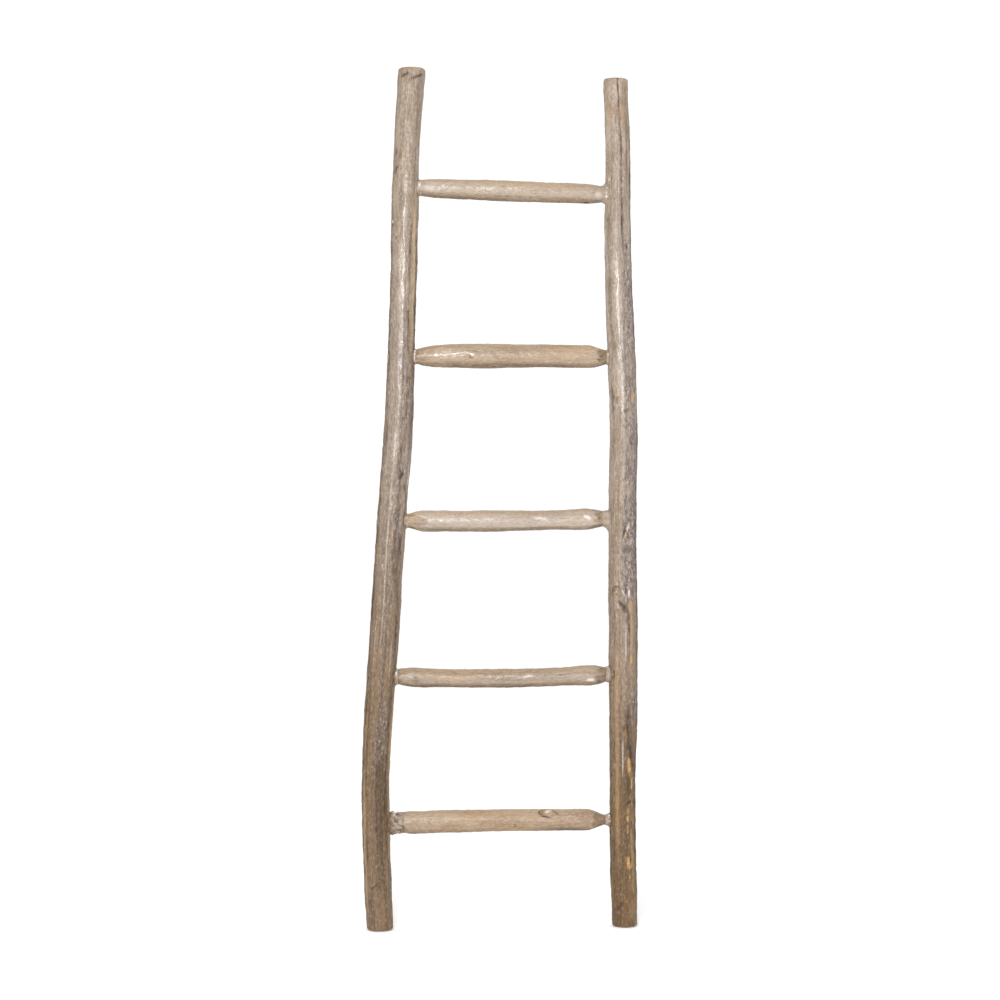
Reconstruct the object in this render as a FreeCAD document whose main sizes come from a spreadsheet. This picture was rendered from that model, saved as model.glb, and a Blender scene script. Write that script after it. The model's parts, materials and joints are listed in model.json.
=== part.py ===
import FreeCAD, Part
import os
import Sketcher
from FreeCAD import Placement, Rotation, Vector

# A decorative leaning ladder made of peeled, whitewashed branches: two crooked
# rails and five round rungs.  Each rung has a round tenon at both ends, glued
# into a blind mortise in the rail and drawn tight by one screw driven from the
# rail's outer side.  A dab of filler closes each screw hole, and a collar of
# filler closes the shoulder of each rung.
#
# The frame: +Z up along the ladder, +X to the viewer's right, -Y to the front,
# the origin on the floor between the feet.  All lengths are in millimetres.

SIDES = {"left": -1, "right": 1}
RUNGS = (1, 2, 3, 4, 5)                 # counted from the top
SKIN_DEGREE = 2                         # keeps a branch's skin from bulging between stations
STATIONS = ("foot", "rung_5", "gap_5", "rung_4", "gap_4", "rung_3",
            "gap_3", "rung_2", "gap_2", "rung_1", "top")

# Sizes of the whole ladder and of the joints.
SIZES = {
    "rail_length": 1500.0,              # left rail, from its foot to its top
    "right_shorter": 13.0,              # the right rail ends this much lower
    "foot_spread": 429.0,               # between the middles of the two feet
    "top_spread": 356.5,                # between the middles of the two tops
    "foot_shift": 5.5,                  # middle of the feet, to the right of the origin
    "top_shift": 24.5,                  # middle of the tops, to the right of the origin
    "top_round": 5.0,                   # radius rubbed onto each rail's top end
    "foot_chamfer": 1.5,                # edge taken off each sawn foot
    "tenon_diameter": 20.0,
    "mortise_depth": 27.0,              # from the rail's inner face
    "glue_gap": 0.25,                   # all round the tenon
    "tenon_end_gap": 1.5,               # between the tenon's end and the mortise bottom
    "shoulder_gap": 2.0,                # between a rung's shoulder and the rail
    "break_out": 12.0,                  # how far each boring tool runs past the bark side
    "screw_length": 45.0,               # under the head
    "screw_thread_diameter": 5.0,
    "screw_core_diameter": 3.4,
    "screw_tip": 6.0,
    "screw_head_diameter": 9.0,
    "screw_head_height": 3.0,
    "screw_plain_shank": 13.0,          # unthreaded length under the head
    "thread_pitch": 4.0,
    "slot_width": 1.2,
    "slot_depth": 1.4,
    "screw_clearance": 0.25,            # all round the shank and the thread
    "pilot_overrun": 2.0,               # pilot hole past the screw's tip
    "plug_thickness": 6.0,              # filler over the screw's head
    "plug_sunk": 0.6,                   # filler's flat face below the rail's outer line
    "plug_bore_diameter": 10.5,
    "plug_fit": 0.05,                   # all round the filler in its bore
    "collar_bore_gap": 0.2,             # filler collar clear of the mortise edge
    "collar_root": 12.0,                # filler cone starts this far inside the rail
}

# Each rail is a branch: its diameter, and how far its middle wanders sideways
# (bow) and to the back (sway) from the straight line, at every station.
BRANCHES = {
    "left": {
        "girth": (45.0, 48.5, 49.0, 50.5, 50.5, 50.5, 51.0, 47.5, 47.0, 46.0, 47.0),
        "bow": (0.0, -14.5, -18.0, -14.5, -10.0, -7.0, -1.0, -0.5, -2.0, -4.0, 0.0),
        "sway": (0.0, 1.5, 3.0, 3.0, 2.0, 0.0, -2.0, -3.0, -2.5, -1.0, 0.0),
    },
    "right": {
        "girth": (44.5, 45.5, 47.0, 50.5, 50.0, 49.5, 49.0, 49.0, 47.0, 44.5, 42.5),
        "bow": (0.0, -2.0, -0.5, 2.0, 3.5, 4.5, 8.5, 6.0, 2.0, 2.5, 0.0),
        "sway": (0.0, -2.0, -3.0, -2.0, 0.0, 2.0, 3.0, 2.5, 1.0, -0.5, 0.0),
    },
}

# Each rung is a shorter branch with its two ends whittled down.
RUNG_SIZES = {
    1: {"height": 1292.0, "rise": -8.0, "arch": 0.0, "left_taper": 26.0, "right_taper": 20.0,
        "left_neck": 27.0, "left_full": 32.5, "left_quarter": 35.0, "middle": 36.5,
        "right_quarter": 35.0, "right_full": 33.5, "right_neck": 27.0},
    2: {"height": 998.0, "rise": 1.0, "arch": 1.5, "left_taper": 48.0, "right_taper": 26.0,
        "left_neck": 26.0, "left_full": 40.0, "left_quarter": 43.0, "middle": 41.5,
        "right_quarter": 40.0, "right_full": 39.0, "right_neck": 29.0},
    3: {"height": 712.0, "rise": 4.0, "arch": -2.5, "left_taper": 24.0, "right_taper": 42.0,
        "left_neck": 28.0, "left_full": 35.5, "left_quarter": 36.5, "middle": 37.0,
        "right_quarter": 34.0, "right_full": 38.0, "right_neck": 25.0},
    4: {"height": 440.0, "rise": 2.5, "arch": -5.0, "left_taper": 20.0, "right_taper": 24.0,
        "left_neck": 27.0, "left_full": 33.0, "left_quarter": 31.5, "middle": 33.0,
        "right_quarter": 31.5, "right_full": 35.0, "right_neck": 25.0},
    5: {"height": 185.0, "rise": 2.0, "arch": 2.0, "left_taper": 24.0, "right_taper": 34.0,
        "left_neck": 32.0, "left_full": 38.0, "left_quarter": 39.0, "middle": 38.0,
        "right_quarter": 37.5, "right_full": 36.5, "right_neck": 23.0},
}
RUNG_SECTIONS = ("left_neck", "left_full", "left_quarter", "middle",
                 "right_quarter", "right_full", "right_neck")

# Each collar of filler: its radius on the rail, its radius on the rung, and how
# far it runs along the rung from the rail's face.
COLLARS = {
    ("left", 1): (16.5, 14.5, 9.0),
    ("left", 2): (16.0, 14.5, 8.0),
    ("left", 3): (16.5, 15.0, 8.0),
    ("left", 4): (17.0, 15.0, 10.0),
    ("left", 5): (19.5, 18.0, 16.0),
    ("right", 1): (16.5, 14.5, 8.0),
    ("right", 2): (17.0, 15.5, 8.0),
    ("right", 3): (15.5, 13.5, 8.0),
    ("right", 4): (15.5, 13.5, 8.0),
    ("right", 5): (14.5, 12.5, 9.0),
}


def write_sheet(doc):
    """Put every driving dimension in the sheet, one aliased cell each."""
    sheet = doc.addObject("Spreadsheet::Sheet", "Sizes")
    rows = dict(SIZES)
    for side, measures in BRANCHES.items():
        for measure, values in measures.items():
            for station, value in zip(STATIONS, values):
                rows[f"{side}_{station}_{measure}"] = value
    for rung, measures in RUNG_SIZES.items():
        for measure, value in measures.items():
            rows[f"rung_{rung}_{measure}"] = value
    for (side, rung), values in COLLARS.items():
        for measure, value in zip(("rail_radius", "rung_radius", "reach"), values):
            rows[f"{side}_collar_{rung}_{measure}"] = value
    for number, (name, value) in enumerate(rows.items(), start=1):
        sheet.set(f"A{number}", name)
        sheet.set(f"B{number}", str(value))
        sheet.setAlias(f"B{number}", name)
    doc.recompute()


# ---------------------------------------------------------------- expressions

def rail_length(side):
    """Length of one rail, from foot to top."""
    if side == "left":
        return "Sizes.rail_length"
    return "(Sizes.rail_length - Sizes.right_shorter)"


def rung_height(side, rung):
    """Height of a rung's middle where it enters one rail."""
    if side == "left":
        return f"Sizes.rung_{rung}_height"
    return f"(Sizes.rung_{rung}_height + Sizes.rung_{rung}_rise)"


def station_height(side, station):
    """Height of a station; a gap's station lies midway between its two rungs."""
    if station == "foot":
        return "0"
    if station == "top":
        return rail_length(side)
    kind, rung = station.split("_")
    if kind == "rung":
        return rung_height(side, int(rung))
    return f"(({rung_height(side, int(rung))} + {rung_height(side, int(rung) - 1)}) / 2)"


def foot_across(side):
    """Place across the ladder of the middle of one foot."""
    return f"(Sizes.foot_shift + ({SIDES[side]}) * Sizes.foot_spread / 2)"


def drift(side, station):
    """How far a rail's middle at a station lies across from its own foot."""
    lean = (f"(Sizes.top_shift - Sizes.foot_shift"
            f" + ({SIDES[side]}) * (Sizes.top_spread - Sizes.foot_spread) / 2)")
    share = f"{station_height(side, station)} / {rail_length(side)}"
    return f"({lean} * {share} + Sizes.{side}_{station}_bow)"


def inner_face(side, rung):
    """Place across the ladder of a rail's inner face at a rung."""
    station = f"rung_{rung}"
    half = f"Sizes.{side}_{station}_girth / 2"
    return f"({foot_across(side)} + {drift(side, station)} - ({SIDES[side]}) * {half})"


def sway(side, rung):
    """Depth of a rail's middle at a rung, which the rung's end shares."""
    return f"Sizes.{side}_rung_{rung}_sway"


def shoulder(side, rung):
    """Place across the ladder of a rung's shoulder."""
    return f"({inner_face(side, rung)} - ({SIDES[side]}) * Sizes.shoulder_gap)"


def clear_span(rung):
    """Length of a rung between its two shoulders."""
    return f"({shoulder('right', rung)} - {shoulder('left', rung)})"


TENON_LENGTH = "(Sizes.mortise_depth - Sizes.tenon_end_gap + Sizes.shoulder_gap)"
COUNTERBORE_DEPTH = "(Sizes.plug_thickness + Sizes.plug_sunk + Sizes.screw_head_height)"


def rail_wall(side, rung):
    """Wood left between the mortise bottom and the screw head's seat."""
    return f"(Sizes.{side}_rung_{rung}_girth - Sizes.mortise_depth - {COUNTERBORE_DEPTH})"


def head_seat(side, rung):
    """Place across the ladder of the seat under a screw's head."""
    depth = f"(Sizes.mortise_depth + {rail_wall(side, rung)})"
    return f"({inner_face(side, rung)} + ({SIDES[side]}) * {depth})"


# ------------------------------------------------------------ PartDesign tools

def new_body(doc, name, across="0", depth="0", height="0"):
    """Add a body at a place worked out from the sheet."""
    body = doc.addObject("PartDesign::Body", name)
    body.Label = name
    for axis, value in zip("xyz", (across, depth, height)):
        body.setExpression(f"Placement.Base.{axis}", value)
    return body


def origin_plane(body, role):
    """Find one of a body's own origin planes."""
    return next(plane for plane in body.Origin.OriginFeatures if plane.Role == role)


def circle_sketch(body, name, role, offset, diameter):
    """Draw a circle on an origin plane of a body, at an offset from its middle."""
    sketch = body.newObject("Sketcher::SketchObject", name)
    sketch.AttachmentSupport = [(origin_plane(body, role), "")]
    sketch.MapMode = "FlatFace"
    sketch.addGeometry(Part.Circle(Vector(0, 0, 0), Vector(0, 0, 1), 10.0), False)
    sketch.addConstraint(Sketcher.Constraint("Coincident", 0, 3, -1, 1))
    sketch.addConstraint(Sketcher.Constraint("Diameter", 0, 20.0))
    sketch.renameConstraint(1, "diameter")
    sketch.setExpression("Constraints.diameter", diameter)
    for axis, value in zip("xyz", offset):
        sketch.setExpression(f"AttachmentOffset.Base.{axis}", value)
    return sketch


def section_circle(doc, name, offset, diameter, towards_x):
    """Draw one round section of a branch, square to Z or to X."""
    section = doc.addObject("Part::Circle", name)
    section.setExpression("Radius", f"{diameter} / 2")
    section.Placement = Placement(Vector(0, 0, 0), Rotation(Vector(0, 1, 0), 90 * towards_x))
    for axis, value in zip("xyz", offset):
        section.setExpression(f"Placement.Base.{axis}", value)
    return section


def grow_branch(doc, body, sections):
    """Run one smooth skin through a row of sections and give it to a body."""
    branch = doc.addObject("Part::Loft", f"{body.Name}_branch")
    branch.Sections = sections
    branch.Solid = True
    branch.MaxDegree = SKIN_DEGREE
    body.BaseFeature = branch
    doc.recompute()
    return body.Tip


def bore(body, name, offset, diameter, length, towards_right):
    """Cut a round hole along X, from its closed end towards one side."""
    sketch = circle_sketch(body, f"{name}_circle", "YZ_Plane", offset, diameter)
    feature = body.newObject("PartDesign::Pocket", name)
    feature.Profile = sketch
    feature.Reversed = towards_right
    feature.setExpression("Length", length)
    return feature


def edges_at_height(shape, height):
    """Name the edges that lie wholly at one height."""
    return [f"Edge{number}" for number, edge in enumerate(shape.Edges, start=1)
            if abs(edge.BoundBox.ZMin - height) < 0.01 and abs(edge.BoundBox.ZMax - height) < 0.01]


# ------------------------------------------------------------------- the rails

def soften_ends(doc, body, skin):
    """Round a rail's top end and take the edge off its sawn foot."""
    doc.recompute()
    top = body.newObject("PartDesign::Fillet", f"{body.Name}_top_round")
    top.Base = (skin, edges_at_height(skin.Shape, skin.Shape.BoundBox.ZMax))
    top.setExpression("Radius", "Sizes.top_round")
    doc.recompute()
    foot = body.newObject("PartDesign::Chamfer", f"{body.Name}_foot_edge")
    foot.Base = (top, edges_at_height(top.Shape, top.Shape.BoundBox.ZMin))
    foot.setExpression("Size", "Sizes.foot_chamfer")


def bore_joint(body, side, rung):
    """Bore a rail for one rung: mortise, screw hole and counterbore."""
    sign = SIDES[side]
    depth = sway(side, rung)
    height = rung_height(side, rung)
    face = f"{inner_face(side, rung)} - {foot_across(side)}"
    bottom = f"{face} + ({sign}) * Sizes.mortise_depth"
    seat = f"{head_seat(side, rung)} - {foot_across(side)}"
    inwards_right = side == "left"
    bore(body, f"{side}_mortise_{rung}", (depth, height, bottom),
         "Sizes.tenon_diameter + 2 * Sizes.glue_gap",
         "Sizes.mortise_depth + Sizes.break_out", inwards_right)
    bore(body, f"{side}_screw_hole_{rung}", (depth, height, seat),
         "Sizes.screw_thread_diameter + 2 * Sizes.screw_clearance",
         f"{rail_wall(side, rung)} + Sizes.tenon_end_gap", inwards_right)
    bore(body, f"{side}_counterbore_{rung}", (depth, height, seat),
         "Sizes.plug_bore_diameter",
         f"{COUNTERBORE_DEPTH} + Sizes.break_out", not inwards_right)


def make_rail(doc, side):
    """One crooked branch, bored for its five rungs."""
    body = new_body(doc, f"{side}_rail", foot_across(side))
    sections = []
    for station in STATIONS:
        offset = (drift(side, station), f"Sizes.{side}_{station}_sway", station_height(side, station))
        sections.append(section_circle(doc, f"{side}_{station}_section", offset,
                                       f"Sizes.{side}_{station}_girth", 0))
    skin = grow_branch(doc, body, sections)
    soften_ends(doc, body, skin)
    for rung in RUNGS:
        bore_joint(body, side, rung)
    return body


# ------------------------------------------------------------------- the rungs

def rung_places(rung):
    """Places of a rung's sections, measured from its left shoulder."""
    span = clear_span(rung)
    start = f"Sizes.rung_{rung}_left_taper"
    end = f"({span} - Sizes.rung_{rung}_right_taper)"
    quarters = [f"({start} + ({end} - {start}) * {count} / 4)" for count in (1, 2, 3)]
    return ["0", start, *quarters, end, span]


def rung_offset(rung, place):
    """Middle of a rung at a place along it: a straight line with a slight arch."""
    share = f"({place} / {clear_span(rung)})"
    depth = f"({sway('right', rung)} - {sway('left', rung)}) * {share}"
    arch = f"Sizes.rung_{rung}_arch * 4 * {share} * (1 - {share})"
    return depth, f"Sizes.rung_{rung}_rise * {share} + {arch}", place


def add_tenon(body, side, rung):
    """Turn a round tenon on one end of a rung and drill it for its screw."""
    place = "0" if side == "left" else clear_span(rung)
    end = f"{place} + ({SIDES[side]}) * {TENON_LENGTH}"
    depth, height, _ = rung_offset(rung, place)
    sketch = circle_sketch(body, f"rung_{rung}_{side}_tenon_circle", "YZ_Plane",
                           (depth, height, place), "Sizes.tenon_diameter")
    tenon = body.newObject("PartDesign::Pad", f"rung_{rung}_{side}_tenon")
    tenon.Profile = sketch
    tenon.Reversed = side == "left"
    tenon.setExpression("Length", TENON_LENGTH)
    pilot = (f"Sizes.screw_length - {rail_wall(side, rung)} - Sizes.tenon_end_gap"
             f" + Sizes.pilot_overrun")
    bore(body, f"rung_{rung}_{side}_pilot", (depth, height, end),
         "Sizes.screw_thread_diameter + 2 * Sizes.screw_clearance", pilot, side == "left")


def make_rung(doc, rung):
    """One shorter branch with whittled ends, a tenon and a pilot hole at each."""
    body = new_body(doc, f"rung_{rung}", shoulder("left", rung), sway("left", rung),
                    rung_height("left", rung))
    sections = []
    for section, place in zip(RUNG_SECTIONS, rung_places(rung)):
        depth, height, across = rung_offset(rung, place)
        sections.append(section_circle(doc, f"rung_{rung}_{section}_section",
                                       (across, depth, height), f"Sizes.rung_{rung}_{section}", 1))
    grow_branch(doc, body, sections)
    for side in SIDES:
        add_tenon(body, side, rung)
    return body


# ----------------------------------------------------------- screws and fillers

def along_x(shape, place, side, inwards):
    """Lay a primitive's axis along X at a joint, inwards or outwards."""
    sign = -SIDES[side] if inwards else SIDES[side]
    across, depth, height = place
    shape.Placement = Placement(Vector(0, 0, 0), Rotation(Vector(0, 1, 0), 90 * sign))
    for axis, value in zip("xyz", (across, depth, height)):
        shape.setExpression(f"Placement.Base.{axis}", value)
    return shape


def cylinder(doc, name, radius, length):
    """Add a cylinder sized from the sheet."""
    shape = doc.addObject("Part::Cylinder", name)
    shape.setExpression("Radius", radius)
    shape.setExpression("Height", length)
    return shape


def cone(doc, name, start_radius, end_radius, length):
    """Add a cone sized from the sheet."""
    shape = doc.addObject("Part::Cone", name)
    shape.setExpression("Radius1", start_radius)
    shape.setExpression("Radius2", end_radius)
    shape.setExpression("Height", length)
    return shape


def cut(doc, name, base, tool):
    """Cut one solid by another."""
    result = doc.addObject("Part::Cut", name)
    result.Base = base
    result.Tool = tool
    result.Label = name
    return result


def make_screw(doc, side, rung):
    """A steel wood screw: slotted flat head, plain shank, thread and point."""
    name = f"{side}_screw_{rung}"
    inwards = -SIDES[side]
    seat = head_seat(side, rung)
    line = (sway(side, rung), rung_height(side, rung))
    core = "Sizes.screw_core_diameter / 2"
    thread = "Sizes.screw_thread_diameter / 2"
    shank_length = "Sizes.screw_length - Sizes.screw_tip"

    def at(distance):
        return (f"{seat} + ({inwards}) * ({distance})", *line)

    pieces = [
        along_x(cylinder(doc, f"{name}_head", "Sizes.screw_head_diameter / 2",
                         "Sizes.screw_head_height"), at("0"), side, False),
        along_x(cylinder(doc, f"{name}_core", core, shank_length), at("0"), side, True),
        along_x(cylinder(doc, f"{name}_shank", thread, "Sizes.screw_plain_shank"),
                at("0"), side, True),
        along_x(cone(doc, f"{name}_tip", core, "0", "Sizes.screw_tip"),
                at(shank_length), side, True),
    ]
    threaded = SIZES["screw_length"] - SIZES["screw_tip"] - SIZES["screw_plain_shank"]
    for turn in range(int(threaded // SIZES["thread_pitch"])):
        ridge = cone(doc, f"{name}_ridge_{turn}", thread, core, "Sizes.thread_pitch / 2")
        start = f"Sizes.screw_plain_shank + Sizes.thread_pitch * ({turn} + 0.5)"
        pieces.append(along_x(ridge, at(start), side, True))
    blank = doc.addObject("Part::MultiFuse", f"{name}_blank")
    blank.Shapes = pieces
    slot = doc.addObject("Part::Box", f"{name}_slot")
    slot.setExpression("Length", "Sizes.slot_depth")
    slot.setExpression("Width", "Sizes.screw_head_diameter")
    slot.setExpression("Height", "Sizes.slot_width")
    top = f"{seat} + ({SIDES[side]}) * Sizes.screw_head_height"
    corner = top if side == "left" else f"{top} - Sizes.slot_depth"
    slot.setExpression("Placement.Base.x", corner)
    slot.setExpression("Placement.Base.y", f"{line[0]} - Sizes.screw_head_diameter / 2")
    slot.setExpression("Placement.Base.z", f"{line[1]} - Sizes.slot_width / 2")
    return cut(doc, name, blank, slot)


def make_plug(doc, side, rung):
    """A dab of filler in the counterbore, over the screw's head."""
    name = f"{side}_plug_{rung}"
    plug = cylinder(doc, name, "Sizes.plug_bore_diameter / 2 - Sizes.plug_fit",
                    "Sizes.plug_thickness")
    plug.Label = name
    start = f"{head_seat(side, rung)} + ({SIDES[side]}) * Sizes.screw_head_height"
    return along_x(plug, (start, sway(side, rung), rung_height(side, rung)), side, False)


def make_collar(doc, side, rung, rail, rung_body):
    """A collar of filler that closes a rung's shoulder against the rail."""
    name = f"{side}_collar_{rung}"
    line = (sway(side, rung), rung_height(side, rung))
    start = (f"{inner_face(side, rung)} + ({SIDES[side]}) * Sizes.collar_root", *line)
    length = f"Sizes.collar_root + Sizes.{name}_reach"
    blank = cone(doc, f"{name}_blank", f"Sizes.{name}_rail_radius",
                 f"Sizes.{name}_rung_radius", length)
    hole = cylinder(doc, f"{name}_hole",
                    "Sizes.tenon_diameter / 2 + Sizes.glue_gap + Sizes.collar_bore_gap",
                    f"{length} + Sizes.shoulder_gap")
    along_x(blank, start, side, True)
    along_x(hole, start, side, True)
    ring = cut(doc, f"{name}_ring", blank, hole)
    off_rail = cut(doc, f"{name}_off_rail", ring, rail)
    return cut(doc, name, off_rail, rung_body)


# ------------------------------------------------------------------ the ladder

def build(doc):
    """Build every piece of the ladder and return them by name."""
    write_sheet(doc)
    rails = {side: make_rail(doc, side) for side in SIDES}
    rungs = {rung: make_rung(doc, rung) for rung in RUNGS}
    pieces = [*rails.values(), *rungs.values()]
    for side in SIDES:
        for rung in RUNGS:
            pieces.append(make_collar(doc, side, rung, rails[side], rungs[rung]))
            pieces.append(make_screw(doc, side, rung))
            pieces.append(make_plug(doc, side, rung))
    doc.recompute()
    return {piece.Label: piece for piece in pieces}


def check(doc, pieces):
    """Stop if any feature failed or any piece isn't one sound solid."""
    for item in doc.Objects:
        if "Invalid" in item.State or "Error" in item.State:
            raise RuntimeError(f"{item.Name} failed: {item.State}")
    for name, piece in pieces.items():
        if piece.Shape.isNull() or not piece.Shape.isValid():
            raise RuntimeError(f"{name} has no valid shape")
        if len(piece.Shape.Solids) != 1:
            raise RuntimeError(f"{name} has {len(piece.Shape.Solids)} solids")


def main():
    doc = FreeCAD.newDocument("branch_ladder")
    pieces = build(doc)
    check(doc, pieces)
    os.makedirs("parts", exist_ok=True)
    for name, piece in pieces.items():
        piece.Shape.exportStep(f"parts/{name}.step")
    print(f"{len(pieces)} pieces written")


main()
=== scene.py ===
import json
import math

import bpy
import numpy as np
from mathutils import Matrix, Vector, noise


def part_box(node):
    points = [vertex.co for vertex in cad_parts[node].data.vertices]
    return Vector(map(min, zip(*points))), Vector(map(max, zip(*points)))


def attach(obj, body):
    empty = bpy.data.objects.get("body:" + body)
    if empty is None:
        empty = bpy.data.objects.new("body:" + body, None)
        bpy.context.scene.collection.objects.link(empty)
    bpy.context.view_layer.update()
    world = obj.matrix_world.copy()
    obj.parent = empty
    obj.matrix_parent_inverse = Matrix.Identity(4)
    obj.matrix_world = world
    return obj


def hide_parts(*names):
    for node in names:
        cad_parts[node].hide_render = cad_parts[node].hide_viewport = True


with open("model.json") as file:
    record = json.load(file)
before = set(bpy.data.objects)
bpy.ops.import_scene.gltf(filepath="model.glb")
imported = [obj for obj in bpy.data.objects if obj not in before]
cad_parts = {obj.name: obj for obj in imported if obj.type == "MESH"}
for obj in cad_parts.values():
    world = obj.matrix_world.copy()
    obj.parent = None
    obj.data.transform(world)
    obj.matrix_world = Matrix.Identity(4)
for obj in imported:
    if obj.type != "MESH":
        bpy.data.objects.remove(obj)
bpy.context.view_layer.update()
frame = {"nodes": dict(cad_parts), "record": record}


# ---------------------------------------------------------------- the rails
# Two peeled teak branches, fluted and crooked, sawn square at the foot and the
# top.  They were dried, scraped, brushed with thin whitewash and waxed, so the
# lobes shine softly while checks, knots and weathered patches stay rough.

MM = 0.001
FRONT = Vector((0.0, -1.0, 0.0))
ACROSS = Vector((1.0, 0.0, 0.0))
UP = Vector((0.0, 0.0, 1.0))

# What is painted on every point: brown of the foot, which is also painted shade under the rungs and
# down the rails' edges;
# grey of the weather, which is also a painted highlight across the rungs' fronts; dirt together with
# painted shade in grooves, hollows and edges; rot, torn wood, warm wood; chalk together with painted
# highlight streaks and specks; wax and sawn end.
LAYERS = ("foot", "ash_and_sheen", "dirt_and_shade", "rough", "raw", "warm", "pale", "polish", "sawn")


def trace_branch(node, along, side, places, start):
    """Read a round branch's middle and radius off its CAD skin, with rays from all round it.

    A ray that falls into a bored hole disagrees with the others and is left out.
    """
    clear_of_bark = 60 * MM
    down_a_hole = 4 * MM
    on_a_rim = 0.6 * MM
    solid = frame["nodes"][node]
    turns = np.linspace(-math.pi, math.pi, 24, endpoint=False)
    outs = [side * math.sin(turn) + FRONT * math.cos(turn) for turn in turns]
    model = np.column_stack((np.ones(len(turns)), np.sin(turns), np.cos(turns)))
    middle = Vector(start)
    middles = []
    radii = []
    for place in places:
        middle[along] = place
        # Three rounds settle the middle.
        for _ in range(3):
            reach = []
            for out in outs:
                found, point, _, _ = solid.ray_cast(middle + clear_of_bark * out, -out,
                                                    distance=clear_of_bark)
                reach.append((point - middle).dot(out) if found else 0.0)
            reach = np.array(reach)
            keep = abs(reach - np.median(reach)) < down_a_hole
            fit = np.linalg.lstsq(model[keep], reach[keep], rcond=None)[0]
            keep &= abs(model @ fit - reach) < on_a_rim
            fit = np.linalg.lstsq(model[keep], reach[keep], rcond=None)[0]
            middle += side * float(fit[1]) + FRONT * float(fit[2])
        middles.append(middle.copy())
        radii.append(fit[0])
    return np.array(middles), np.array(radii)


def smooth_row(values, width=5):
    """Average each value with its neighbours, the ends held."""
    padded = np.pad(values, width // 2, mode="edge")
    return np.convolve(padded, np.ones(width) / width, mode="valid")


def plan_end(tip, inwards, rounding, radius):
    """Rows of (place, share of the radius) from the middle of a sawn end to past its worn rim."""
    flat = [(tip, share * (1 - rounding / radius)) for share in (0, 0.25, 0.5, 0.72, 0.88)]
    rim = [(tip + inwards * rounding * (1 - math.sin(a)), 1 - rounding / radius * (1 - math.cos(a)))
           for a in np.radians(np.linspace(90, 0, 6))]
    return flat + rim


def plan_rows(low, high, low_round, high_round, radius, step):
    """Rows of points over one end, along the branch and over the other end."""
    count = round((high - low - low_round - high_round) / step)
    along = np.linspace(low + low_round, high - high_round, count + 1)[1:-1]
    return np.array(plan_end(low, 1, low_round, radius) + [(place, 1.0) for place in along]
                    + plan_end(high, -1, high_round, radius)[::-1])


def flat_bark(name, rows, around):
    """Add a flat grid to be rolled round a branch; give each point's turn and row number."""
    bpy.ops.object.select_all(action="DESELECT")
    bpy.ops.mesh.primitive_grid_add(x_subdivisions=around, y_subdivisions=rows - 1, size=2.0)
    piece = bpy.context.object
    piece.name = piece.data.name = name
    flat = np.empty(len(piece.data.vertices) * 3)
    piece.data.vertices.foreach_get("co", flat)
    flat = flat.reshape(-1, 3)
    return piece, flat[:, 0] * math.pi, np.rint((flat[:, 1] + 1) / 2 * (rows - 1)).astype(int)


def lay_points(piece, points, grain, layers):
    """Put a grid's points on the branch, keep its paint and close its seam and ends."""
    mesh = piece.data
    mesh.vertices.foreach_set("co", points.ravel())
    mesh.attributes.new("grain", "FLOAT_VECTOR", "POINT").data.foreach_set("vector", grain.ravel())
    for layer in LAYERS:
        mesh.attributes.new(layer, "FLOAT", "POINT").data.foreach_set(
            "value", np.clip(layers[layer], 0, 1.2))
    bpy.ops.object.mode_set(mode="EDIT")
    bpy.ops.mesh.select_all(action="SELECT")
    bpy.ops.mesh.remove_doubles(threshold=0.01 * MM)
    bpy.ops.mesh.normals_make_consistent(inside=False)
    bpy.ops.object.mode_set(mode="OBJECT")
    bpy.ops.object.shade_smooth()


def lumps(turn, place, radius, around, along, seed, octaves=3):
    """Noise over the bark: one lump is about this many metres around and along the branch."""
    x = np.sin(turn) * radius / around
    y = np.cos(turn) * radius / around
    z = place / along
    return np.array([noise.fractal(Vector((a + seed, b - seed, c + 7 * seed)), 1.0, 2.0, octaves)
                     for a, b, c in zip(x, y, z)])


def fade(value, start, end):
    """Rise smoothly from 0 at start to 1 at end."""
    t = np.clip((value - start) / (end - start), 0, 1)
    return t * t * (3 - 2 * t)


def span(place, start, end, soft):
    """One between two places along a branch, easing to nothing past each."""
    return fade(place, start - soft, start + soft) * (1 - fade(place, end - soft, end + soft))


def around_from(turn, centre):
    """Signed turn from a centre line, the short way round."""
    return (turn - centre + math.pi) % (2 * math.pi) - math.pi


def cut_groove(bark, turn, place, radius, line, wide, deep, dirt_and_shade):
    """Sink a groove along a line of (place, turn) points, wandering a little as grain does, and darken
    it with dirt and painted shade.
    """
    places = np.array([point[0] for point in line]) * MM
    turns = np.radians([point[1] for point in line])
    centre = np.interp(place, places, turns)
    wander = 0.5 * np.sin(place / (17 * MM) + turns[0] * 9)
    wander += np.sin(place / (41 * MM) + turns[0] * 5)
    off = radius * around_from(turn, centre) - 0.45 * MM * wander
    inside = span(place, places[0], places[-1], 10 * MM)
    torn = lumps(turn, place, radius, 5 * MM, 14 * MM, 41 + len(line), 2)
    swell = np.clip(0.75 + 0.25 * np.sin(place / (23 * MM) + turns[0] * 13) + torn, 0.1, 1.4)
    profile = np.exp(-(off / (wide * MM)) ** 2) * inside * swell
    bark["relief"] -= deep * MM * profile
    # The groove's dark paint is the dirt it holds and painted shade in its hollow.
    bark["dirt_and_shade"] += dirt_and_shade * profile


def leave_mark(bark, turn, place, radius, layer, mark):
    """Paint one oval mark in a layer, and lift or sink it."""
    at, towards, long, wide, lean, paint, lift = mark
    off = radius * around_from(turn, math.radians(towards)) / MM
    up = place / MM - at
    tilt = math.radians(lean)
    along = up * math.cos(tilt) + off * math.sin(tilt)
    aside = off * math.cos(tilt) - up * math.sin(tilt)
    oval = np.exp(-((along / long) ** 4 + (aside / wide) ** 2) * 0.8)
    bark[layer] += paint * oval
    bark["relief"] += lift * MM * oval


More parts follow.
